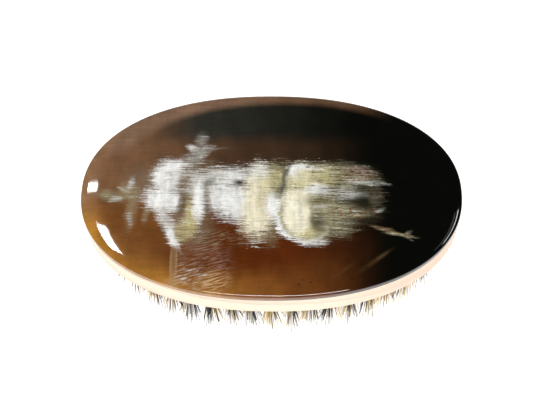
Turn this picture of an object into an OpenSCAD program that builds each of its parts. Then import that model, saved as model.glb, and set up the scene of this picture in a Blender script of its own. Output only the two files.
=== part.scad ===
// Oval hairbrush with a domed horn back, a wooden stock and drawn bristle tufts.
// Every tuft is a bundle of bristles folded in half and pulled up into a stepped hole by a
// wire. The wire runs from hole to hole in grooves on the stock's upper face, and the horn
// back is glued over it.
// Frame: +X along the brush, +Z up towards the horn back, and the origin on the plane of the
// bristle tips, under the middle of the oval. Millimetres.

/* [Body] */
// Length of the brush over its oval
body_l = 120; // [112:1:130]
// Width of the brush over its oval
body_w = 72; // [72:1:78]
// Fullness of the oval: 2 is an ellipse, more is squarer
oval_power = 2.2; // [2:0.05:2.5]

/* [Wooden stock] */
// Thickness of the stock
stock_t = 9.5; // [8.5:0.5:11]
// Radius along the stock's lower edge
stock_edge_r = 1.5; // [0.5:0.25:2.5]

/* [Horn back] */
// Height of the horn's upright rim
rim_h = 1.8; // [1:0.1:3]
// Rise of the dome from the rim to the crown
dome_h = 4.2; // [3:0.1:6]

/* [Tufts] */
// Free length of the bristles below the stock
bristle_l = 17; // [12:0.5:22]
// Distance from the edge of the stock to the middle of the outer ring of holes
ring_margin = 5.4; // [5:0.1:5.6]
// Distance from one ring of tufts to the next
ring_pitch = 5.9; // [5.4:0.1:5.9]
// Distance from tuft to tuft along a ring
tuft_pitch = 6.4; // [6:0.1:7]
// Diameter of a tuft hole
hole_d = 2.8; // [2.4:0.1:3]
// Depth of a tuft hole, from the underside of the stock
hole_depth = 6; // [5:0.5:7]
// Diameter of a tuft across its trimmed tips
tip_d = 4.6; // [3:0.1:4.6]

/* [Drawing wire] */
// Diameter of the wire
wire_d = 0.4; // [0.35:0.05:0.4]
// Distance between the two legs of a wire loop, middle to middle
leg_gap = 1.1; // [1:0.05:1.15]
// Diameter of the pilot hole that the loop is pulled up through
pilot_d = 1.7; // [1.6:0.05:1.8]

/* [Hidden] */
// The rings of tufts from the outside in, then the straight row along the middle.
ring_count = 5;

outline_points = 144;     // corners of the oval outline
dome_rings = 12;          // steps from the rim to the crown
edge_steps = 4;           // steps round the stock's lower edge
arc_samples = 360;        // samples when a ring is measured
fine = 24;                // $fn of round pieces, all of which are true cylinders and cones

stock_z = bristle_l;                    // underside of the stock
top_z = stock_z + stock_t;              // joint between stock and horn
tuft_gap = 0.05;                        // space round a tuft in its hole
wire_r = wire_d / 2;
groove_w = 1.1;
groove_depth = wire_d + 0.15;
run_z = top_z - wire_r - 0.1;           // middle of the wire along the grooves
bend_r = 0.35;                          // bend from a leg into the groove
step = 0.02;                            // the wire is this much thinner where it is straight
reach = 0.05;                           // length of a straight wire end inside a bend
loop_z = stock_z + hole_depth - 0.65;   // centre of the bend at the bottom of a loop
loop_low = loop_z - leg_gap / 2 - wire_r;
neck_w = leg_gap - wire_d - 0.1;        // bristles that pass between the two legs

// A point of the oval with half axes a and b, at angle t.
function oval_point(a, b, t) = [
    a * sign(cos(t)) * pow(abs(cos(t)), 2 / oval_power),
    b * sign(sin(t)) * pow(abs(sin(t)), 2 / oval_power)
];

function oval(a, b, n) = [for (i = [0:n - 1]) oval_point(a, b, 360 * i / n)];

// The outline of the brush, drawn in by inset and lifted to z, as a ring for loft().
function body_ring(inset, z) = [
    for (p = oval(body_l / 2 - inset, body_w / 2 - inset, outline_points)) [p.x, p.y, z]
];

// The oval at share s of its full size.
function dome_ring(s, z) = [
    for (p = oval(s * body_l / 2, s * body_w / 2, outline_points)) [p.x, p.y, z]
];

// Half axes of ring k, counted from 1 at the outside.
function ring_a(k) = body_l / 2 - ring_margin - (k - 1) * ring_pitch;
function ring_b(k) = body_w / 2 - ring_margin - (k - 1) * ring_pitch;

// [[length along the ring, angle], ...], for an even spacing with lookup().
function ring_lengths(k, i = 0, so_far = 0, table = []) =
    let (t = 360 * i / arc_samples,
         next = 360 * (i + 1) / arc_samples,
         step = norm(oval_point(ring_a(k), ring_b(k), next) - oval_point(ring_a(k), ring_b(k), t)))
    i > arc_samples ? table : ring_lengths(k, i + 1, so_far + step, concat(table, [[so_far, t]]));

// The middles of the holes of ring k, evenly spaced. Every second ring starts half a pitch on.
function ring_holes(k) =
    let (table = ring_lengths(k),
         around = table[arc_samples][0],
         count = 2 * round(around / tuft_pitch / 2),
         start = k % 2 == 0 ? 0.5 : 0)
    [for (i = [0:count - 1])
        oval_point(ring_a(k), ring_b(k), lookup((i + start) * around / count, table))];

// The holes of the straight row that fills the innermost ring, evenly spaced.
function centre_holes() =
    let (last = ring_a(ring_count) - 1.5 * ring_pitch,
         side = round(last / tuft_pitch))
    [for (i = [-side:side]) [i * last / side, 0]];

function at(points, i) = points[(i + len(points)) % len(points)];
function unit(v) = v / norm(v);
function angle_of(v) = atan2(v.y, v.x);

// The wire's direction at hole i of a closed ring.
function along(points, i) = unit(at(points, i + 1) - at(points, i - 1));

// A closed solid through rings of equal length, with flat ends.
module loft(rings) {
    n = len(rings[0]);
    last = (len(rings) - 1) * n;
    sides = [
        for (r = [0:len(rings) - 2], i = [0:n - 1])
            [r * n + i, (r + 1) * n + i, (r + 1) * n + (i + 1) % n, r * n + (i + 1) % n]
    ];
    bottom = [for (i = [0:n - 1]) i];
    top = [for (i = [n - 1:-1:0]) last + i];
    polyhedron(points = [for (r = rings) each r], faces = concat([bottom], sides, [top]));
}

module horn_back() {
    upright = [body_ring(0, top_z), body_ring(0, top_z + rim_h)];
    dome = [
        for (i = [1:dome_rings])
            let (t = 88 * i / dome_rings) dome_ring(cos(t), top_z + rim_h + dome_h * sin(t))
    ];
    color("#5a3317") loft(concat(upright, dome));
}

module stock_blank() {
    rounded = [
        for (i = [0:edge_steps])
            let (t = 90 * i / edge_steps)
                body_ring(stock_edge_r * (1 - sin(t)), stock_z + stock_edge_r * (1 - cos(t)))
    ];
    loft(concat(rounded, [body_ring(0, top_z)]));
}

// A stepped hole: the tuft's own hole from below, and the pilot hole on through.
module stepped_hole() {
    translate([0, 0, stock_z - 1]) cylinder(d = hole_d, h = hole_depth + 1, $fn = fine);
    translate([0, 0, stock_z]) cylinder(d = pilot_d, h = stock_t + 1, $fn = fine);
}

// A groove along the wire of a closed ring, which turns only between the legs at each hole.
module ring_groove(points) {
    n = len(points);
    legs = [for (i = [0:n - 1], e = [-1, 1]) points[i] + e * along(points, i) * leg_gap / 2];
    square_to = [for (i = [0:n - 1], e = [-1, 1])
        let (v = along(points, i)) [v.y, -v.x] * groove_w / 2];
    outer = legs + square_to;
    inner = legs - square_to;
    translate([0, 0, top_z - groove_depth])
        linear_extrude(groove_depth + 1)
            polygon(
                concat(outer, inner),
                [[for (i = [0:2 * n - 1]) i], [for (i = [0:2 * n - 1]) 2 * n + i]]
            );
}

module centre_groove(points) {
    length = points[len(points) - 1].x - points[0].x + groove_w;
    translate([-length / 2, -groove_w / 2, top_z - groove_depth])
        cube([length, groove_w, groove_depth + 1]);
}

module bristle_stock() {
    color("#e8c8a8") difference() {
        stock_blank();
        for (k = [1:ring_count]) {
            ring_groove(ring_holes(k));
            for (p = ring_holes(k)) translate([p.x, p.y, 0]) stepped_hole();
        }
        centre_groove(centre_holes());
        for (p = centre_holes()) translate([p.x, p.y, 0]) stepped_hole();
    }
}

// One tuft, with the wire's legs along X. Its root narrows to a neck between the legs, and
// the loop passes through it under the fold.
module tuft() {
    root_d = hole_d - 2 * tuft_gap;
    root_top = stock_z + hole_depth - tuft_gap;
    side = (root_d - neck_w) / 2;
    color("#8d7a55") difference() {
        union() {
            cylinder(d1 = tip_d, d2 = root_d, h = stock_z, $fn = fine);
            translate([0, 0, stock_z]) cylinder(d = root_d, h = root_top - stock_z, $fn = fine);
        }
        for (s = [-1, 1])
            translate([s * (neck_w / 2 + side / 2 + 0.5), 0, (loop_low + root_top) / 2 + 0.4])
                cube([side + 1, root_d + 1, root_top - loop_low + 1], center = true);
        translate([0, 0, loop_low + wire_r + 0.05])
            rotate([0, 90, 0]) cylinder(r = wire_r + 0.15, h = root_d, center = true, $fn = fine);
    }
}

// A straight length of wire from the origin up. Its ends reach into the bends they join.
module straight(length) {
    translate([0, 0, -reach]) cylinder(r = wire_r - step, h = length + 2 * reach, $fn = fine);
}

// A bend in the XZ plane round the origin, from angle start on through sweep.
module bend(radius, start, sweep) {
    rotate([90, 0, 0]) rotate_extrude(angle = sweep, start = start, $fn = fine)
        translate([radius, 0]) circle(r = wire_r, $fn = fine);
}

// The wire at one hole: two legs down the pilot hole and the bend at their foot.
module wire_loop() {
    for (s = [-1, 1])
        translate([s * leg_gap / 2, 0, loop_z]) straight(run_z - bend_r - loop_z);
    translate([0, 0, loop_z]) bend(leg_gap / 2, 180, 180);
}

// The wire in its groove from leg a to leg b, with a bend down into each.
module wire_run(a, b) {
    length = norm(b - a);
    translate([a.x, a.y, run_z]) rotate([0, 0, angle_of(b - a)]) {
        translate([bend_r, 0, 0]) rotate([0, 90, 0]) straight(length - 2 * bend_r);
        translate([bend_r, 0, -bend_r]) bend(bend_r, 90, 90);
        translate([length - bend_r, 0, -bend_r]) bend(bend_r, 0, 90);
    }
}

module ring_wire(points) {
    half = leg_gap / 2;
    n = len(points);
    color("#c9a24a") for (i = [0:n - 1]) {
        p = points[i];
        q = at(points, i + 1);
        translate([p.x, p.y, 0]) rotate([0, 0, angle_of(along(points, i))]) wire_loop();
        wire_run(p + half * along(points, i), q - half * along(points, i + 1));
    }
}

module centre_wire(points) {
    half = [leg_gap / 2, 0];
    color("#c9a24a") {
        for (p = points) translate([p.x, p.y, 0]) wire_loop();
        for (i = [0:len(points) - 2]) wire_run(points[i] + half, points[i + 1] - half);
    }
}

module ring_tufts(points) {
    for (i = [0:len(points) - 1])
        translate([points[i].x, points[i].y, 0]) rotate([0, 0, angle_of(along(points, i))]) tuft();
}

horn_back();
bristle_stock();
for (k = [1:ring_count]) {
    ring_tufts(ring_holes(k));
    ring_wire(ring_holes(k));
}
for (p = centre_holes()) translate([p.x, p.y, 0]) tuft();  // tuft_centre_row
centre_wire(centre_holes());  // drawing_wire_centre_row
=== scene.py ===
"""Oval hairbrush with a polished horn back, a pale wooden stock and drawn bristle tufts.

Lengths are in metres, as in the frame. The marking of the horn is laid out in millimetres
on the brush's own plan: x along it from left to right, y across it from near to far.
"""
import math
import random

import bmesh
import bpy
from mathutils import Matrix, Vector


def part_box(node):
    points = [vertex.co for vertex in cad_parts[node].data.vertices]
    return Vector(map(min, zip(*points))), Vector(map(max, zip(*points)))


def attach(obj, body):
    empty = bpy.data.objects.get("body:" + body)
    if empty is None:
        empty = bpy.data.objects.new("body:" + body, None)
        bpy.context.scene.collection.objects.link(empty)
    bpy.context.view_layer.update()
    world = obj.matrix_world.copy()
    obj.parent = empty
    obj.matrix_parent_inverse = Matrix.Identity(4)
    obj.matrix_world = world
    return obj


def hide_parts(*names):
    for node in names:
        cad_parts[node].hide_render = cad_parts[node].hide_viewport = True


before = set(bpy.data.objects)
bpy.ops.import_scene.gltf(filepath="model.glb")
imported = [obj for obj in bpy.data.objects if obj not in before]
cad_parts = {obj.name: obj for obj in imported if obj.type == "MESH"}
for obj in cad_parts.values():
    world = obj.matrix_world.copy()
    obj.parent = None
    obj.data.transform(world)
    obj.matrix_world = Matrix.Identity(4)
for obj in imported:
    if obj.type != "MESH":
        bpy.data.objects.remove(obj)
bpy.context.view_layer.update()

MM = 0.001
OVAL_POWER = 2.2
HORN_LO, HORN_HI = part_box("horn_back")
STOCK_LO, STOCK_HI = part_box("bristle_stock")
HALF_L, HALF_W = HORN_HI.x, HORN_HI.y
JOINT_Z = HORN_LO.z
RIM_H = 1.8 * MM
DOME_H = HORN_HI.z - JOINT_Z - RIM_H

# The layout of the tufts, as in the frame.
RING_COUNT = 5
RING_MARGIN = 5.4 * MM
RING_PITCH = 5.9 * MM
TUFT_PITCH = 6.4 * MM
HOLE_R = 1.4 * MM
# From this share of the half length outwards the bristles of the outer ring lean inwards more
# and more, by these distances at the very ends of the brush.
END_SHARE = 0.62
LEAN_LEFT = 3.6 * MM
LEAN_RIGHT = 2.2 * MM
# A bristle starts ROOT_DEPTH up its hole, within ROOT_SHARE of the hole's radius from the middle.
# Its tip stands off by up to TIP_SHARE of that radius and a flare, before it leans and scatters.
ROOT_DEPTH = 2.5 * MM
ROOT_SHARE = 0.48
TIP_SHARE = 0.9
FLARE_OUTER = 2.3 * MM
FLARE_INNER = 1.5 * MM


# ---------------------------------------------------------------- the figure of the horn

def srgb(r, g, b):
    """A colour given as 0 to 255 on a screen, as the linear colour that a shader takes."""
    def linear(v):
        v /= 255
        return v / 12.92 if v <= 0.04045 else ((v + 0.055) / 1.055) ** 2.4
    return (linear(r), linear(g), linear(b), 1)


LEFT_BROWN = srgb(126, 90, 63)
MIDDLE_BROWN = srgb(68, 48, 33)
HORN_BLACK = srgb(5, 6, 3)
NEAR_LEFT = srgb(122, 76, 36)
NEAR_MIDDLE = srgb(92, 41, 9)
BAND_LEFT = srgb(56, 55, 48)
# The next two colours paint a reflection along the far rim.
FAR_RIM_REFLECTION_LEFT = srgb(138, 108, 86)
FAR_RIM_REFLECTION_RIGHT = srgb(108, 80, 57)
# The next three colours paint a glow along the thin near rim and left end, as of light shining through
# the horn.
GLOW_AMBER = srgb(192, 134, 54)
DARK_GLOW_AMBER = srgb(136, 84, 36)
LEFT_RIM_GLOW = srgb(152, 114, 82)
WHITE = srgb(255, 255, 252)
PALE = srgb(232, 231, 224)
GREY = srgb(176, 172, 162)
DULL = srgb(136, 122, 100)
IVORY = srgb(255, 250, 224)
CREAM = srgb(250, 241, 210)
STRAW = srgb(216, 205, 150)
OLIVE = srgb(166, 160, 126)
MOSS = srgb(112, 106, 76)
DEEP = srgb(28, 26, 18)
SMOKE = srgb(58, 60, 54)
UMBER = srgb(92, 62, 30)
RUST = srgb(120, 62, 34)
TAN = srgb(190, 158, 116)
SAND = srgb(208, 172, 122)
LILAC = srgb(182, 156, 142)

# Patches, from the lowest to the highest: x, y, half length, half width, turn, softness,
# strength, colour.
CLOUDS = (
    # haze and wisps to the left of the heart
    (-41, 2, 4.5, 5, 0, 0.7, 0.4, DULL), (-50.5, -2.2, 3.4, 1.5, -18, 0.6, 0.6, OLIVE),
    (-45, -1, 3, 2.6, -30, 0.6, 0.5, OLIVE), (-43.3, -7, 1.6, 6, -4, 0.6, 0.4, OLIVE),
    (-38.4, -9, 1.2, 3, -12, 0.7, 0.4, OLIVE), (-48.4, -3.4, 1.6, 0.7, 10, 0.6, 0.45, PALE),
    (-44, 1.4, 0.8, 2.2, -10, 0.7, 0.45, PALE), (-43.4, -10.6, 0.6, 2, 0, 0.7, 0.35, PALE),
    (-46.4, -0.6, 1.6, 0.5, -30, 0.7, 0.4, PALE),
    # bed of the heart
    (-30.5, 0, 7.6, 8.8, -6, 0.4, 0.8, DULL), (-22, 0, 7, 8, 0, 0.4, 0.8, DULL),
    (-25, -10, 6.5, 9.5, 10, 0.5, 0.7, DULL), (-13, -0.6, 13, 7.2, -3, 0.2, 0.9, GREY),
    (2, 0, 9, 8, 0, 0.2, 0.9, OLIVE), (-1, -10, 5, 8, 0, 0.4, 0.6, OLIVE),
    # wisp that rises from the first lobe
    (-26, 9.4, 4.6, 2.4, 30, 0.6, 0.75, GREY), (-21.5, 12.6, 3.6, 1.7, 30, 0.5, 0.8, GREY),
    (-25, 14.6, 1.9, 1, -20, 0.6, 0.9, PALE), (-23.8, 13.2, 0.8, 1.6, 20, 0.6, 0.7, GREY),
    (-22.3, 17.2, 1.8, 2.4, 0, 0.7, 0.5, GREY), (-18.4, 13.8, 3.4, 0.5, 4, 0.7, 0.4, GREY),
    # first lobe
    (-32.5, 4, 4.8, 5.4, -8, 0.3, 0.6, PALE), (-31, 7.6, 4.2, 2.1, 8, 0.4, 0.9, WHITE),
    (-34.6, 4, 2.4, 3, 0, 0.4, 0.9, WHITE), (-31, 2.6, 2.2, 5, -30, 0.5, 0.6, WHITE),
    (-33.6, -4, 6, 4, -10, 0.35, 1.0, WHITE), (-32, -4.6, 4, 3.4, 0, 0.4, 1.0, WHITE),
    # tail of the first lobe
    (-24.6, -9.5, 1.9, 6, 0, 0.5, 0.7, STRAW), (-31.6, -12.6, 1.9, 7, 26, 0.4, 0.8, PALE),
    (-29.8, -17, 1.2, 4.2, 28, 0.4, 1.0, WHITE), (-26.4, -15, 3, 3, 0, 0.5, 0.6, STRAW),
    # column, and the gaps at its two sides
    (-23.4, 1, 2.8, 5, 6, 0.4, 0.8, PALE), (-22.4, -5, 1.8, 6.4, 0, 0.4, 0.9, WHITE),
    (-27.2, -5.6, 1.5, 3.6, 0, 0.5, 0.8, UMBER), (-27.4, 3, 1.6, 2.4, 0, 0.6, 0.5, DULL),
    # broad middle
    (-15, 3.6, 7.5, 2.6, -6, 0.3, 0.7, PALE), (-14.4, -4, 5, 5.6, 0, 0.4, 0.85, WHITE),
    (-10, 4, 4, 2.6, 0, 0.4, 0.6, WHITE), (-9.4, -6.6, 6.4, 5.4, -12, 0.35, 0.9, WHITE),
    (-9.2, 1.7, 2.3, 0.9, 0, 0.6, 1.0, SMOKE), (-19.4, -5.8, 1.1, 5, 3, 0.6, 0.6, UMBER),
    (-18.8, 2, 1.8, 1.2, 0, 0.7, 0.6, SMOKE),
    # cream column
    (-4, -2.6, 4.2, 10, 0, 0.2, 0.8, CREAM), (-4.4, -9, 4.6, 8, -4, 0.35, 1.0, CREAM),
    (-3.8, 5.6, 3.6, 2.4, 0, 0.4, 0.7, PALE), (-2, -2.4, 2.2, 5.6, 0, 0.6, 0.5, STRAW),
    (1.4, 3, 2.6, 3.6, 0, 0.5, 0.7, STRAW), (1, -6.6, 2.6, 4.4, 0, 0.4, 0.9, WHITE),
    (3.3, -0.8, 1.2, 2.6, -8, 0.6, 0.85, SMOKE),
)
# Over the clouds lie the second lobe, then its rings, which are frayed less, then the mottles.
LOBES = (
    # bed of the second lobe and of the mottled part
    (11, -0.4, 8, 8, 0, 0.2, 0.9, OLIVE), (18.6, -0.4, 13, 7, -9, 0.2, 0.85, MOSS),
    (17.6, -8, 8.6, 8, 0, 0.4, 0.75, MOSS), (24, -8, 8, 4, 0, 0.5, 0.6, MOSS),
    (17, 1, 7, 5, 0, 0.4, 0.7, OLIVE),
    # second lobe: upper part, then the rings of the lower part
    (10, 3, 5.2, 4.8, 0, 0.3, 0.8, CREAM), (7.4, 5.6, 2.2, 2, 35, 0.4, 0.9, WHITE),
    (10.8, 6.9, 4.8, 0.9, 0, 0.5, 0.9, WHITE), (9.6, 1.6, 4.4, 3.6, 0, 0.6, 0.6, STRAW),
)
RINGS = (
    (10.4, -10.2, 8.9, 9.1, -8, -0.08, 1.0, WHITE), (10.9, -9.8, 8.3, 8.5, -8, -0.08, 0.95, OLIVE),
    (11.2, -9.6, 7.4, 7.8, -8, 0.1, 0.8, STRAW), (8.4, -9.4, 4.6, 7, 0, 0.0, 1.0, CREAM),
    (8.8, -3.4, 4.6, 2.6, 0, 0.3, 0.9, CREAM), (8, -9.4, 3.4, 5.6, 0, 0.3, 0.8, IVORY),
)
MOTTLES = (
    (3.9, 1.5, 0.6, 4.8, -4, 0.5, 0.7, SMOKE), (5.2, 5.6, 0.6, 2.4, -28, 0.5, 0.6, SMOKE),
    (24, 3.4, 4, 1, 0, 0.6, 0.6, DEEP), (21, -4.6, 6, 1.2, 0, 0.6, 0.6, DEEP),
    (27, -11, 5, 1.6, 0, 0.6, 0.6, DEEP), (31.6, -9.6, 3, 2, 0, 0.6, 0.7, DEEP),
    (16.6, 4.6, 5, 3.4, 0, 0.5, 0.6, STRAW), (15, -1.2, 3.4, 1.8, 0, 0.5, 0.9, WHITE),
    (17, -9, 3.4, 8, -6, 0.4, 0.8, OLIVE), (15.6, -5.2, 4.2, 1.9, 0, 0.6, 0.8, MOSS),
    (15.4, -7.2, 2, 0.6, 0, 0.6, 0.9, PALE), (15, -12, 2.6, 2.6, 0, 0.6, 0.95, DEEP),
    (14.4, -8.6, 1.6, 3, 0, 0.7, 0.5, MOSS), (14, -18.8, 3.6, 0.9, 4, 0.6, 0.8, PALE),
    (25.4, 4.4, 6.8, 3.2, -12, 0.6, 0.65, OLIVE), (28, 6, 3.6, 1.5, -14, 0.6, 0.5, LILAC),
    (22.6, -1.4, 6, 2, 0, 0.6, 0.6, GREY), (26, -2.6, 4, 1.2, 0, 0.6, 0.6, PALE),
    (30, 1.8, 5, 0.7, -3, 0.6, 0.6, PALE), (22.6, -8, 7, 2.2, 0, 0.6, 0.9, OLIVE),
    (19.6, -13, 5, 3, 0, 0.6, 0.5, OLIVE), (29, -5, 4, 2.8, 0, 0.6, 0.95, DEEP),
    (28.6, 0, 2.6, 1.2, 0, 0.7, 0.8, DEEP), (32.6, -3, 1.7, 3.2, 0, 0.7, 0.3, DULL),
    (34, -7.6, 1.2, 0.5, 14, 0.9, 0.3, PALE),
    # last wisps
    (35.4, -14.2, 3, 0.45, -18, 0.9, 0.5, TAN), (39.8, -15.6, 3.4, 0.4, -4, 0.9, 0.5, STRAW),
    (42.4, -14.9, 1.4, 0.45, 24, 0.8, 0.6, DULL), (42, -16.3, 1.5, 0.4, -24, 0.8, 0.6, DULL),
)
# A feather also has the range of the stroke noise over which it appears.
FEATHERS = (
    ((-20, -25.5, 8, 6.5, 0, 0.4, 0.6, LILAC), 0.42, 0.74),
    ((-23.5, -29.8, 5.4, 3, -14, 0.4, 0.8, PALE), 0.48, 0.7),
    ((-17, -17.5, 9, 2.6, -4, 0.6, 0.4, OLIVE), 0.45, 0.65),
    ((-16.8, -31.4, 4.4, 2.7, 4, 0.6, 0.85, SAND), 0.36, 0.64),
    ((-16.4, -31.6, 4.2, 2.3, 4, 0.5, 0.65, RUST), 0.54, 0.4),
    ((-28.5, -31.4, 3, 1, -8, 0.6, 0.7, TAN), 0.3, 0.6),
    ((-29.2, -25.8, 1.2, 6.4, 0, 0.3, 0.25, TAN), 0.1, 0.3),
    ((-30, -25.8, 0.3, 6, 0, 0.8, 0.4, TAN), 0.3, 0.6),
    ((-28.3, -25.8, 0.3, 6, 0, 0.8, 0.4, TAN), 0.3, 0.6),
)
# Faint streaks and dark specks in the clear horn, which are not frayed.
SPECKS = (
    (22.4, -27.6, 3.4, 0.5, 36, 0.8, 0.4, UMBER), (32, -24.4, 4.8, 0.6, 37, 0.8, 0.4, UMBER),
    (34.4, -22.6, 2, 0.4, 37, 0.8, 0.15, DULL),
    (9, -32, 0.5, 0.3, 0, 0.6, 0.6, DEEP), (12.6, -31.4, 0.4, 0.3, 0, 0.6, 0.6, DEEP),
    (11.6, 7.4, 0.7, 0.3, 0, 0.6, 0.8, UMBER), (29.5, -26.6, 0.8, 0.4, 0, 0.6, 0.6, DEEP),
    (10.4, -30.6, 0.3, 0.25, 0, 0.6, 0.5, DEEP), (25, -30, 0.5, 0.3, 0, 0.6, 0.5, DEEP),
)


# ---------------------------------------------------------------- nodes

class Graph:
    """A new material, with short names for the nodes that it is made of."""

    def __init__(self, name):
        self.material = bpy.data.materials.new(name)
        self.material.use_nodes = True
        self.nodes = self.material.node_tree.nodes
        self.links = self.material.node_tree.links
        self.bsdf = self.nodes["Principled BSDF"]

    def feed(self, socket, value):
        if isinstance(value, bpy.types.NodeSocket):
            self.links.new(value, socket)
        else:
            socket.default_value = value

    def place(self):
        """The point on the object, in millimetres."""
        n = self.nodes.new("ShaderNodeVectorMath")
        n.operation = "SCALE"
        self.links.new(self.nodes.new("ShaderNodeTexCoord").outputs["Object"], n.inputs[0])
        n.inputs["Scale"].default_value = 1 / MM
        return n.outputs[0]

    def separate(self, vector):
        n = self.nodes.new("ShaderNodeSeparateXYZ")
        self.links.new(vector, n.inputs[0])
        return n.outputs[0], n.outputs[1], n.outputs[2]

    def combine(self, x, y, z=0.0):
        n = self.nodes.new("ShaderNodeCombineXYZ")
        for socket, value in zip(n.inputs, (x, y, z)):
            self.feed(socket, value)
        return n.outputs[0]

    def math(self, operation, *values):
        n = self.nodes.new("ShaderNodeMath")
        n.operation = operation
        for socket, value in zip(n.inputs, values):
            self.feed(socket, value)
        return n.outputs[0]

    def add(self, *values):
        total = values[0]
        for value in values[1:]:
            total = self.math("ADD", total, value)
        return total

    def times(self, *values):
        total = values[0]
        for value in values[1:]:
            total = self.math("MULTIPLY", total, value)
        return total

    def spread(self, value, lo, hi, out_lo=0.0, out_hi=1.0, kind="SMOOTHSTEP"):
        """value carried from the range lo to hi into the range out_lo to out_hi.

        It stops at the ends of the range, unless kind is LINEAR, which runs on beyond them.
        """
        n = self.nodes.new("ShaderNodeMapRange")
        n.interpolation_type = kind
        n.clamp = False
        for name, v in (("Value", value), ("From Min", lo), ("From Max", hi),
                        ("To Min", out_lo), ("To Max", out_hi)):
            self.feed(n.inputs[name], v)
        return n.outputs[0]

    def noise(self, vector, scale=1.0, detail=2.0, roughness=0.5, colour=False):
        n = self.nodes.new("ShaderNodeTexNoise")
        self.links.new(vector, n.inputs["Vector"])
        n.inputs["Scale"].default_value = scale
        n.inputs["Detail"].default_value = detail
        n.inputs["Roughness"].default_value = roughness
        return n.outputs["Color" if colour else "Fac"]

    def mapping(self, vector, at=(0, 0, 0), turn=0.0, size=(1, 1, 1)):
        """vector seen from a point, turned about Z and counted in units of size."""
        n = self.nodes.new("ShaderNodeMapping")
        n.vector_type = "TEXTURE"
        self.links.new(vector, n.inputs["Vector"])
        n.inputs["Location"].default_value = at
        n.inputs["Rotation"].default_value = (0, 0, math.radians(turn))
        n.inputs["Scale"].default_value = size
        return n.outputs[0]

    def length(self, vector):
        n = self.nodes.new("ShaderNodeVectorMath")
        n.operation = "LENGTH"
        self.links.new(vector, n.inputs[0])
        return n.outputs["Value"]

    def blob(self, vector, x, y, rx, ry, turn=0.0, soft=0.4):
        """1 inside an ellipse in the XY plane and 0 outside it, with a soft edge."""
        r = self.length(self.mapping(vector, (x, y, 0), turn, (rx, ry, 1)))
        return self.spread(r, 1 + soft, 1 - soft)

    def mix(self, amount, a, b, blend="MIX"):
        n = self.nodes.new("ShaderNodeMix")
        n.data_type = "RGBA"
        n.blend_type = blend
        colours = [socket for socket in n.inputs if socket.type == "RGBA"]
        self.feed(n.inputs["Factor"], amount)
        self.feed(colours[0], a)
        self.feed(colours[1], b)
        return next(socket for socket in n.outputs if socket.type == "RGBA")

    def layer(self, under, vector, frayed, x, y, rx, ry, turn, soft, amount, colour):
        """under, with an elliptical patch of colour laid over it, its edge frayed."""
        r = self.length(self.mapping(vector, (x, y, 0), turn, (rx, ry, 1)))
        mask = self.spread(self.add(r, frayed), 1.15 + soft, 0.85 - soft, 0, amount)
        return self.mix(mask, under, colour)

    def bump(self, height, distance, strength):
        n = self.nodes.new("ShaderNodeBump")
        n.inputs["Strength"].default_value = strength
        n.inputs["Distance"].default_value = distance
        self.links.new(height, n.inputs["Height"])
        self.links.new(n.outputs[0], self.bsdf.inputs["Normal"])

    def finish(self, colour, roughness, **sockets):
        self.feed(self.bsdf.inputs["Base Color"], colour)
        self.feed(self.bsdf.inputs["Roughness"], roughness)
        for name, value in sockets.items():
            self.bsdf.inputs[name.replace("_", " ")].default_value = value
        return self.material


# ---------------------------------------------------------------- materials

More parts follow.
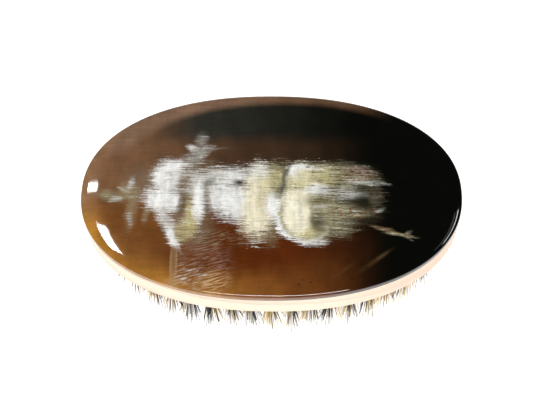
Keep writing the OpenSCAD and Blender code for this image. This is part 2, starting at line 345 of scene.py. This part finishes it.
def horn_material():
    g = Graph("polished_horn")
    x, y, _ = g.separate(g.place())
    flat = g.combine(x, y)

    # Slow bends of the whole figure, and the fine fibres that run along the horn.
    bends = g.noise(flat, 0.13, 2, colour=True)
    bend_x, bend_y, _ = g.separate(bends)
    dx = g.add(x, g.spread(bend_x, 0.2, 0.8, -1.0, 1.0, "LINEAR"))
    dy = g.add(y, g.spread(bend_y, 0.2, 0.8, -0.8, 0.8, "LINEAR"))
    along = g.add(g.times(y, 0.75), g.times(dy, 0.25), g.times(x, 0.012))
    fibre = g.noise(g.combine(g.times(x, 0.09), g.times(along, 1.0)), 1, 3, 0.6)
    fine = g.noise(g.combine(g.times(x, 0.17), g.times(along, 2.6)), 1, 2, 0.6)
    grain = g.noise(g.combine(g.times(x, 1.1), g.times(y, 3.2)), 1, 2, 0.6)
    mottle = g.noise(flat, 0.5, 4, 0.65)
    columns = g.noise(g.combine(g.times(dx, 0.5), g.times(dy, 0.06)), 1, 2, 0.5)
    weave = g.add(g.times(fibre, 0.25), g.times(fine, 0.45), g.times(grain, 0.3))
    frayed = g.spread(weave, 0.4, 0.6, -0.22, 0.3, "LINEAR")
    bent = g.combine(dx, dy)
    smooth_x = g.add(dx, g.spread(fibre, 0.3, 0.7, -1.2, 1.2, "LINEAR"))

    # Ground colour: brown at the left, black at the right, red brown at the near side, and a painted
    # glow of amber along the near rim and the left end, as of light shining through the thin edge.
    oval = g.math("POWER", g.add(
        g.math("POWER", g.math("ABSOLUTE", g.times(x, MM / HALF_L)), OVAL_POWER),
        g.math("POWER", g.math("ABSOLUTE", g.times(y, MM / HALF_W)), OVAL_POWER)), 1 / OVAL_POWER)
    ground = g.mix(g.spread(smooth_x, -54, -2), LEFT_BROWN, MIDDLE_BROWN)
    ground = g.mix(g.spread(smooth_x, -6, 34), ground, HORN_BLACK)
    near_brown = g.mix(g.spread(smooth_x, -46, -8), NEAR_LEFT, NEAR_MIDDLE)
    near_brown = g.mix(g.spread(smooth_x, -2, 38), near_brown, HORN_BLACK)
    ground = g.mix(g.spread(g.add(y, g.times(x, 0.08)), 2, -15), ground, near_brown)
    band = g.times(g.spread(dy, 14, 21), g.spread(smooth_x, -44, -22))
    ground = g.mix(band, ground, g.mix(g.spread(smooth_x, -44, 32), BAND_LEFT, HORN_BLACK))
    # Painted reflection: a lighter band along the far rim, as the dome would mirror the bright room
    # behind the brush.
    far = g.times(
        g.spread(g.add(oval, g.times(x, -0.0012)), 0.84, 0.94), g.spread(y, 10, 18), g.spread(x, 40, 22))
    ground = g.mix(far, ground, g.mix(g.spread(x, -30, 26), FAR_RIM_REFLECTION_LEFT, FAR_RIM_REFLECTION_RIGHT))
    # Painted glow: amber along the near rim, as of light shining through the thin edge of the horn.
    near_rim_glow = g.times(
        g.spread(g.add(oval, g.times(x, 0.004)), 0.66, 0.96), g.spread(y, -4, -20), g.spread(x, 36, -20))
    ground = g.mix(near_rim_glow, ground, g.mix(g.spread(x, -46, 6), GLOW_AMBER, DARK_GLOW_AMBER))
    # Painted glow: lighter along the left end of the rim and amber at its lower part, as of light
    # shining through the thin edge.
    left_rim_glow = g.times(g.spread(oval, 0.86, 1.0), g.spread(x, -44, -57))
    ground = g.mix(left_rim_glow, ground, g.mix(g.spread(y, 0, -14), LEFT_RIM_GLOW, GLOW_AMBER))

    # The ground is faintly streaked along the fibres, and clouded in wide soft patches.
    wide = g.noise(g.combine(g.times(x, 0.16), g.times(y, 0.11)), 1, 3, 0.55)
    tone = g.times(g.spread(fibre, 0.3, 0.7, 0.92, 1.08), g.spread(grain, 0.3, 0.7, 0.94, 1.06),
                   g.spread(wide, 0.3, 0.7, 0.86, 1.14))
    ground = g.mix(1.0, ground, g.combine(tone, tone, tone), "MULTIPLY")

    # The cloudy heart, from its bed to its brightest parts, streaked by the fibres.
    # The later patches are drawn a little aside by the brighter of the earlier ones. This also
    # makes the shader work through the groups in turn, as all of them at once overflow its stack.
    colour = ground
    for patch in CLOUDS:
        colour = g.layer(colour, bent, frayed, *patch)
    lit, _, _ = g.separate(colour)
    bent = g.combine(g.add(dx, g.times(lit, 0.3)), g.add(dy, g.times(lit, -0.3)))
    for patch in LOBES:
        colour = g.layer(colour, bent, frayed, *patch)
    for patch in RINGS:
        colour = g.layer(colour, bent, g.times(frayed, 0.4), *patch)
    for patch in MOTTLES:
        colour = g.layer(colour, bent, frayed, *patch)
    # Rust specks are scattered over the mottled part.
    rust = g.noise(g.combine(g.times(x, 0.7), g.times(y, 1.4)), 1, 2, 0.6)
    for x0, y0, rx, ry in ((27, 4.6, 6, 2.6), (26, -8.4, 6.5, 2)):
        mask = g.times(g.blob(bent, x0, y0, rx, ry), g.spread(rust, 0.51, 0.62, 0, 0.85))
        colour = g.mix(mask, colour, RUST)

    # Where the cloud is thin the horn shows through it along the fibres.
    lit, _, _ = g.separate(colour)
    ground_lit, _, _ = g.separate(ground)
    cover = g.spread(g.add(lit, g.times(ground_lit, -1)), 0.02, 0.2)
    streak = g.add(g.times(fibre, 0.3), g.times(fine, 0.45), g.times(grain, 0.25))
    thin = g.times(
        g.spread(streak, 0.48, 0.62), g.spread(lit, 0.95, 0.45, 0.3, 1.0), g.spread(x, 4, 28, 0.62, 1.0))
    colour = g.mix(g.times(cover, thin), colour, ground)
    colour = g.mix(g.times(cover, g.spread(streak, 0.48, 0.34, 0, 0.6)), colour, WHITE)
    shade = g.times(g.spread(columns, 0.3, 0.7, 0.9, 1.1), g.spread(mottle, 0.35, 0.65, 0.9, 1.06))
    colour = g.mix(cover, colour, g.combine(shade, shade, shade), "MULTIPLY")

    # Feathered strokes and a tan patch near the left of the near rim.
    lit, _, _ = g.separate(colour)
    flat = g.combine(x, g.add(y, g.times(lit, 0.2)))
    slant_x, slant_y, _ = g.separate(g.mapping(flat, turn=13))
    stroke = g.noise(g.combine(g.times(slant_x, 0.26), g.times(slant_y, 2.1)), 1, 3, 0.7)
    for patch, lo, hi in FEATHERS:
        x0, y0, rx, ry, turn, soft, amount, tint = patch
        mask = g.times(g.blob(flat, x0, y0, rx, ry, turn, soft), g.spread(stroke, lo, hi, 0, amount))
        colour = g.mix(mask, colour, tint)

    for patch in SPECKS:
        colour = g.layer(colour, flat, 0.0, *patch)

    g.bump(g.add(g.times(fibre, 0.6), fine), 0.006 * MM, 0.4)
    return g.finish(colour, g.spread(fine, 0.3, 0.7, 0.03, 0.07), IOR=1.54)


def wood_material():
    g = Graph("pale_wood")
    x, y, z = g.separate(g.place())
    # Flat growth rings that rise a little towards the left, each ending in a thin red line.
    ring_gap, first_ring = 8.5, 22.9
    slow = g.noise(g.combine(g.times(x, 0.03), g.times(y, 0.05), z), 0.5, 2)
    wobble = g.spread(slow, 0.2, 0.8, -0.5, 0.5)
    depth = g.add(z, g.times(x, 0.063), g.times(y, 0.02), wobble, -first_ring)
    ring = g.math("FRACT", g.times(depth, 1 / ring_gap))
    late = g.times(g.spread(ring, 0.93, 0.985), g.spread(ring, 1.0, 0.99), g.spread(x, 10, -4))
    grain = g.noise(g.combine(g.times(x, 0.12), g.times(y, 2.6), g.times(z, 2.6)), 1, 3, 0.6)
    pores = g.noise(g.combine(g.times(x, 0.5), g.times(y, 8.0), g.times(z, 8.0)), 1, 1)
    # Each ring runs from peach to cream. The cream below the red lines is partly the wood's own paler
    # tone and partly painted light: the floor's bounce on the lower side of the stock.
    colour = g.mix(g.spread(ring, 0.05, 0.5), srgb(250, 222, 198), srgb(250, 240, 216))
    colour = g.mix(g.spread(x, 10, 50, 0, 0.7), colour, srgb(246, 208, 184))
    colour = g.mix(g.times(late, 0.85), colour, srgb(240, 178, 158))
    colour = g.mix(g.spread(grain, 0.45, 0.75, 0, 0.25), colour, srgb(232, 196, 164))
    colour = g.mix(g.spread(pores, 0.62, 0.76, 0, 0.3), colour, srgb(206, 164, 132))
    g.bump(g.add(grain, g.times(pores, 0.5)), 0.03 * MM, 0.5)
    return g.finish(colour, g.spread(grain, 0.3, 0.7, 0.42, 0.56), IOR=1.5)


def bristle_material(name, root, tip, odd):
    g = Graph(name)
    _, _, z = g.separate(g.place())
    island = g.nodes.new("ShaderNodeNewGeometry").outputs["Random Per Island"]
    colour = g.mix(g.spread(z, 6, 0), root, tip)
    colour = g.mix(g.spread(island, 0.5, 1.0, 0, 0.8), colour, odd)
    return g.finish(colour, g.spread(island, 0, 1, 0.5, 0.65), IOR=1.55, Specular_IOR_Level=0.2)


def wire_material():
    g = Graph("drawn_brass")
    mottle = g.noise(g.place(), 0.9, 3)
    colour = g.mix(g.spread(mottle, 0.35, 0.7), srgb(206, 168, 96), srgb(150, 112, 58))
    return g.finish(colour, g.spread(mottle, 0.3, 0.7, 0.28, 0.46), Metallic=1.0)


def floor_material():
    g = Graph("pale_floor")
    mottle = g.noise(g.place(), 0.01, 2)
    colour = g.mix(g.spread(mottle, 0.3, 0.7), srgb(204, 203, 201), srgb(210, 209, 207))
    g.bsdf.inputs["Emission Color"].default_value = (1, 0.995, 0.985, 1)
    g.bsdf.inputs["Emission Strength"].default_value = 1.0
    return g.finish(colour, 0.85)


# ---------------------------------------------------------------- meshes

def oval_point(a, b, t):
    c, s = math.cos(t), math.sin(t)
    return Vector((
        math.copysign(abs(c) ** (2 / OVAL_POWER), c) * a,
        math.copysign(abs(s) ** (2 / OVAL_POWER), s) * b,
    ))


def add_piece(name, mesh, *materials):
    piece = bpy.data.objects.new(name, mesh)
    bpy.context.scene.collection.objects.link(piece)
    for m in materials:
        mesh.materials.append(m)
    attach(piece, "root")
    return piece


def horn_mesh():
    """The back: a flat underside, a broken lower edge, an upright rim and the dome."""
    count, chamfer = 320, 0.12 * MM
    bm = bmesh.new()

    def ring(a, b, z):
        points = (oval_point(a, b, 2 * math.pi * i / count) for i in range(count))
        return [bm.verts.new((q.x, q.y, z)) for q in points]

    rings = [
        ring(HALF_L - chamfer, HALF_W - chamfer, JOINT_Z),
        ring(HALF_L, HALF_W, JOINT_Z + chamfer),
        ring(HALF_L, HALF_W, JOINT_Z + 2 * chamfer),
        ring(HALF_L, HALF_W, JOINT_Z + 0.6 * RIM_H),
    ]
    steps = 44
    for i in range(steps):
        t = math.pi / 2 * i / steps
        rings.append(ring(
            HALF_L * math.cos(t), HALF_W * math.cos(t), JOINT_Z + RIM_H + DOME_H * math.sin(t)))
    bottom = bm.faces.new(rings[0][::-1])
    for low, high in zip(rings, rings[1:]):
        for i in range(count):
            j = (i + 1) % count
            bm.faces.new((low[i], low[j], high[j], high[i])).smooth = True
    crown = bm.verts.new((0, 0, JOINT_Z + RIM_H + DOME_H))
    for i in range(count):
        bm.faces.new((rings[-1][i], rings[-1][(i + 1) % count], crown)).smooth = True
    for edge in bottom.edges:
        edge.smooth = False
    mesh = bpy.data.meshes.new("horn_plate")
    bm.to_mesh(mesh)
    bm.free()
    return mesh


def ring_holes(k):
    """The middles of the tufts of ring k, evenly spaced round it, as in the frame."""
    a = HALF_L - RING_MARGIN - (k - 1) * RING_PITCH
    b = HALF_W - RING_MARGIN - (k - 1) * RING_PITCH
    samples = 720
    points = [oval_point(a, b, 2 * math.pi * i / samples) for i in range(samples + 1)]
    lengths = [0.0]
    for p, q in zip(points, points[1:]):
        lengths.append(lengths[-1] + (q - p).length)
    around = lengths[-1]
    count = 2 * round(around / TUFT_PITCH / 2)
    start = 0.5 if k % 2 == 0 else 0
    holes, i = [], 0
    for n in range(count):
        wanted = (n + start) * around / count
        while lengths[i + 1] < wanted:
            i += 1
        share = (wanted - lengths[i]) / (lengths[i + 1] - lengths[i])
        holes.append(oval_point(a, b, 2 * math.pi * (i + share) / samples))
    return holes


def centre_holes():
    last = HALF_L - RING_MARGIN - (RING_COUNT + 0.5) * RING_PITCH
    side = round(last / TUFT_PITCH)
    return [Vector((i * last / side, 0)) for i in range(-side, side + 1)]


def add_rod(verts, faces, start, end, thick):
    """Add one bristle: a closed four-sided rod that bends a little and tapers to its tip."""
    sides, steps, bend, taper = 4, 4, 0.3, 0.45
    middle = start.lerp(end, 0.5)
    middle.x += (start.x - middle.x) * bend
    middle.y += (start.y - middle.y) * bend
    base = len(verts)
    for k in range(steps + 1):
        t = k / steps
        at = start * (1 - t) ** 2 + middle * 2 * t * (1 - t) + end * t ** 2
        along = ((middle - start) * (1 - t) + (end - middle) * t).normalized()
        across = along.cross(Vector((0, 1, 0))).normalized()
        other = along.cross(across)
        radius = thick * (1 - taper * t)
        for s in range(sides):
            phi = 2 * math.pi * (s + 0.5) / sides
            verts.append(at + (across * math.cos(phi) + other * math.sin(phi)) * radius)
    for k in range(steps):
        for s in range(sides):
            a, b = base + k * sides + s, base + k * sides + (s + 1) % sides
            faces.append((a, b, b + sides, a + sides))
    faces.append(tuple(base + s for s in reversed(range(sides))))
    faces.append(tuple(base + steps * sides + s for s in range(sides)))


def bristles_mesh(name, holes, rng, per_tuft, outer):
    """Every bristle of the tufts in these holes, each a closed tapered rod of its own."""
    verts, faces, kinds = [], [], []
    root_z = STOCK_LO.z + ROOT_DEPTH
    flare = TIP_SHARE * HOLE_R + (FLARE_OUTER if outer else FLARE_INNER)
    for hole in holes:
        # Black bristles gather on one side of a tuft, and blond ones on the other.
        dark_side = Vector((math.cos(rng.uniform(-0.6, 0.6)), math.sin(rng.uniform(-0.6, 0.6))))
        dark_side *= rng.choice((-1, 1))
        split = rng.uniform(-0.5, 0.5)
        outward = Vector((hole.x / HALF_L ** 2, hole.y / HALF_W ** 2))
        outward = outward.normalized() if outward.length else Vector((0, 0))
        lean = Vector((rng.gauss(0, 0.3), rng.gauss(0, 0.3))) * MM
        if outer:
            lean += outward * rng.uniform(0.2, 1.0) * MM
            towards_end = max(0, (abs(hole.x) / HALF_L - END_SHARE) / (1 - END_SHARE))
            lean -= outward * towards_end * (LEAN_LEFT if hole.x < 0 else LEAN_RIGHT)
        for _ in range(per_tuft):
            turn, share = rng.uniform(0, 2 * math.pi), math.sqrt(rng.random())
            off = Vector((math.cos(turn), math.sin(turn))) * share
            root = hole + off * ROOT_SHARE * HOLE_R
            spread = Vector((rng.gauss(0, 0.6), rng.gauss(0, 0.6))) * MM
            tip = hole + off * flare + lean + spread
            # Three tips in four end near the trimmed plane, and the others higher up.
            low = (rng.uniform(0.15, 1.6) if rng.random() < 0.75 else rng.uniform(1.6, 5.5)) * MM
            # A few bristles of the outer ring stray farther out.
            if outer and rng.random() < 0.06:
                tip += outward * rng.uniform(0.8, 2.8) * MM
                low = rng.uniform(0.3, 2.0) * MM
            start = Vector((root.x, root.y, root_z))
            end = Vector((tip.x, tip.y, low))
            add_rod(verts, faces, start, end, thick=rng.uniform(0.13, 0.18) * MM)
            black_here = off.dot(dark_side) + rng.gauss(0, 0.6) > split + 0.12
            kinds += [0 if black_here else 1] * (len(faces) - len(kinds))
    mesh = bpy.data.meshes.new(name)
    mesh.from_pydata(verts, [], faces)
    mesh.polygons.foreach_set("material_index", kinds)
    mesh.polygons.foreach_set("use_smooth", [True] * len(faces))
    mesh.update()
    return mesh


# ---------------------------------------------------------------- the brush

horn = add_piece("horn_plate", horn_mesh(), horn_material())
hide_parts("horn_back")

black = bristle_material("black_bristle", srgb(18, 15, 12), srgb(24, 20, 15), srgb(62, 44, 24))
blond = bristle_material("blond_bristle", srgb(228, 202, 146), srgb(252, 236, 188), srgb(208, 172, 114))
rng = random.Random(7)


def add_bristles(name, holes, cad_node, per_tuft=60, outer=False):
    piece = add_piece(name, bristles_mesh(name, holes, rng, per_tuft, outer), black, blond)
    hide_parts(cad_node)


add_bristles("bristles_ring_1", ring_holes(1), "tuft_ring_1", per_tuft=64, outer=True)
for k in range(2, RING_COUNT + 1):
    add_bristles(f"bristles_ring_{k}", ring_holes(k), f"tuft_ring_{k}")
add_bristles("bristles_centre_row", centre_holes(), "tuft_centre_row")

# The stock and the wires keep their shape from the frame, and get their materials here.
wood, wire = wood_material(), wire_material()
for name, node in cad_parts.items():
    if name == "bristle_stock" or name.startswith("drawing_wire"):
        node.data.materials.clear()
        node.data.materials.append(wood if name == "bristle_stock" else wire)


# ---------------------------------------------------------------- the stage

def panel(name, direction, distance, width, height, radiance, sideways=(1, 0, 0), gloss=False):
    """A soft rectangular light that faces the brush, seen either in its gloss or not at all."""
    light = bpy.data.lights.new(name, "AREA")
    light.shape = "RECTANGLE"
    light.size, light.size_y = width, height
    light.energy = radiance * math.pi * width * height
    lamp = bpy.data.objects.new(name, light)
    bpy.context.scene.collection.objects.link(lamp)
    facing = Vector(direction).normalized()
    side = Vector(sideways)
    side = (side - facing * side.dot(facing)).normalized()
    lamp.matrix_world = Matrix.Translation(
        Vector((0, 0, JOINT_Z)) + facing * distance) @ Matrix(
        (side, facing.cross(side), facing)).transposed().to_4x4()
    lamp.visible_glossy = gloss
    lamp.visible_diffuse = not gloss


floor = bpy.data.meshes.new("floor")
edge = 3.0
corners = [(-edge, -edge, 0), (edge, -edge, 0), (edge, edge, 0), (-edge, edge, 0)]
floor.from_pydata(corners, [], [(0, 1, 2, 3)])
floor.materials.append(floor_material())
floor_object = bpy.data.objects.new("floor", floor)
bpy.context.scene.collection.objects.link(floor_object)

# Two wide panels light the brush.
panel("sky", (0, 0, 1), 1.2, 1.6, 1.6, 2.2)
panel("front_fill", (0, -1, 0.5), 1.3, 1.6, 0.8, 1.2)
# The others show only in its gloss: as the camera sees it, at both ends and along the near rim.
panel("window", (-0.491, 0.154, 0.858), 1.0, 0.1, 0.24, 40, (0.857, 0.027, 0.515), True)
panel("skylight", (-0.536, 0.464, 0.705), 1.0, 0.17, 0.035, 60, (0.787, 0.008, 0.617), True)
panel("right_strip", (0.74, 0.12, 0.65), 1.0, 0.42, 0.07, 13, (0, 1, 0), True)
panel("right_band", (0.63, 0.12, 0.77), 1.0, 0.42, 0.05, 1.0, (0, 1, 0), True)
panel("front_strip", (0, -0.72, 0.69), 1.0, 0.6, 0.05, 46, gloss=True)

world = bpy.data.worlds.new("room")
world.use_nodes = True
world.node_tree.nodes["Background"].inputs["Color"].default_value = (0.03, 0.031, 0.03, 1)
bpy.context.scene.world = world

# The camera looks steeply down from the near side, with the brush slightly turned and tilted in view.
elevation, yaw, roll = math.radians(62.07), math.radians(3.45), math.radians(2.73)
distance = 0.4
back = Vector((
    math.sin(yaw) * math.cos(elevation), -math.cos(yaw) * math.cos(elevation), math.sin(elevation)))
right = Vector((math.cos(yaw), math.sin(yaw), 0))
up = back.cross(right)
axes = (right * math.cos(roll) - up * math.sin(roll), right * math.sin(roll) + up * math.cos(roll), back)
camera = bpy.data.objects.new("camera", bpy.data.cameras.new("camera"))
bpy.context.scene.collection.objects.link(camera)
camera.matrix_world = Matrix.Translation(
    Vector((0, 0, JOINT_Z)) + back * distance) @ Matrix(axes).transposed().to_4x4()
camera.data.lens = 85.45
camera.data.shift_x, camera.data.shift_y = -0.0084, -0.0078
camera.data.clip_start = 0.01
bpy.context.scene.camera = camera
bpy.context.scene.view_settings.view_transform = "Standard"
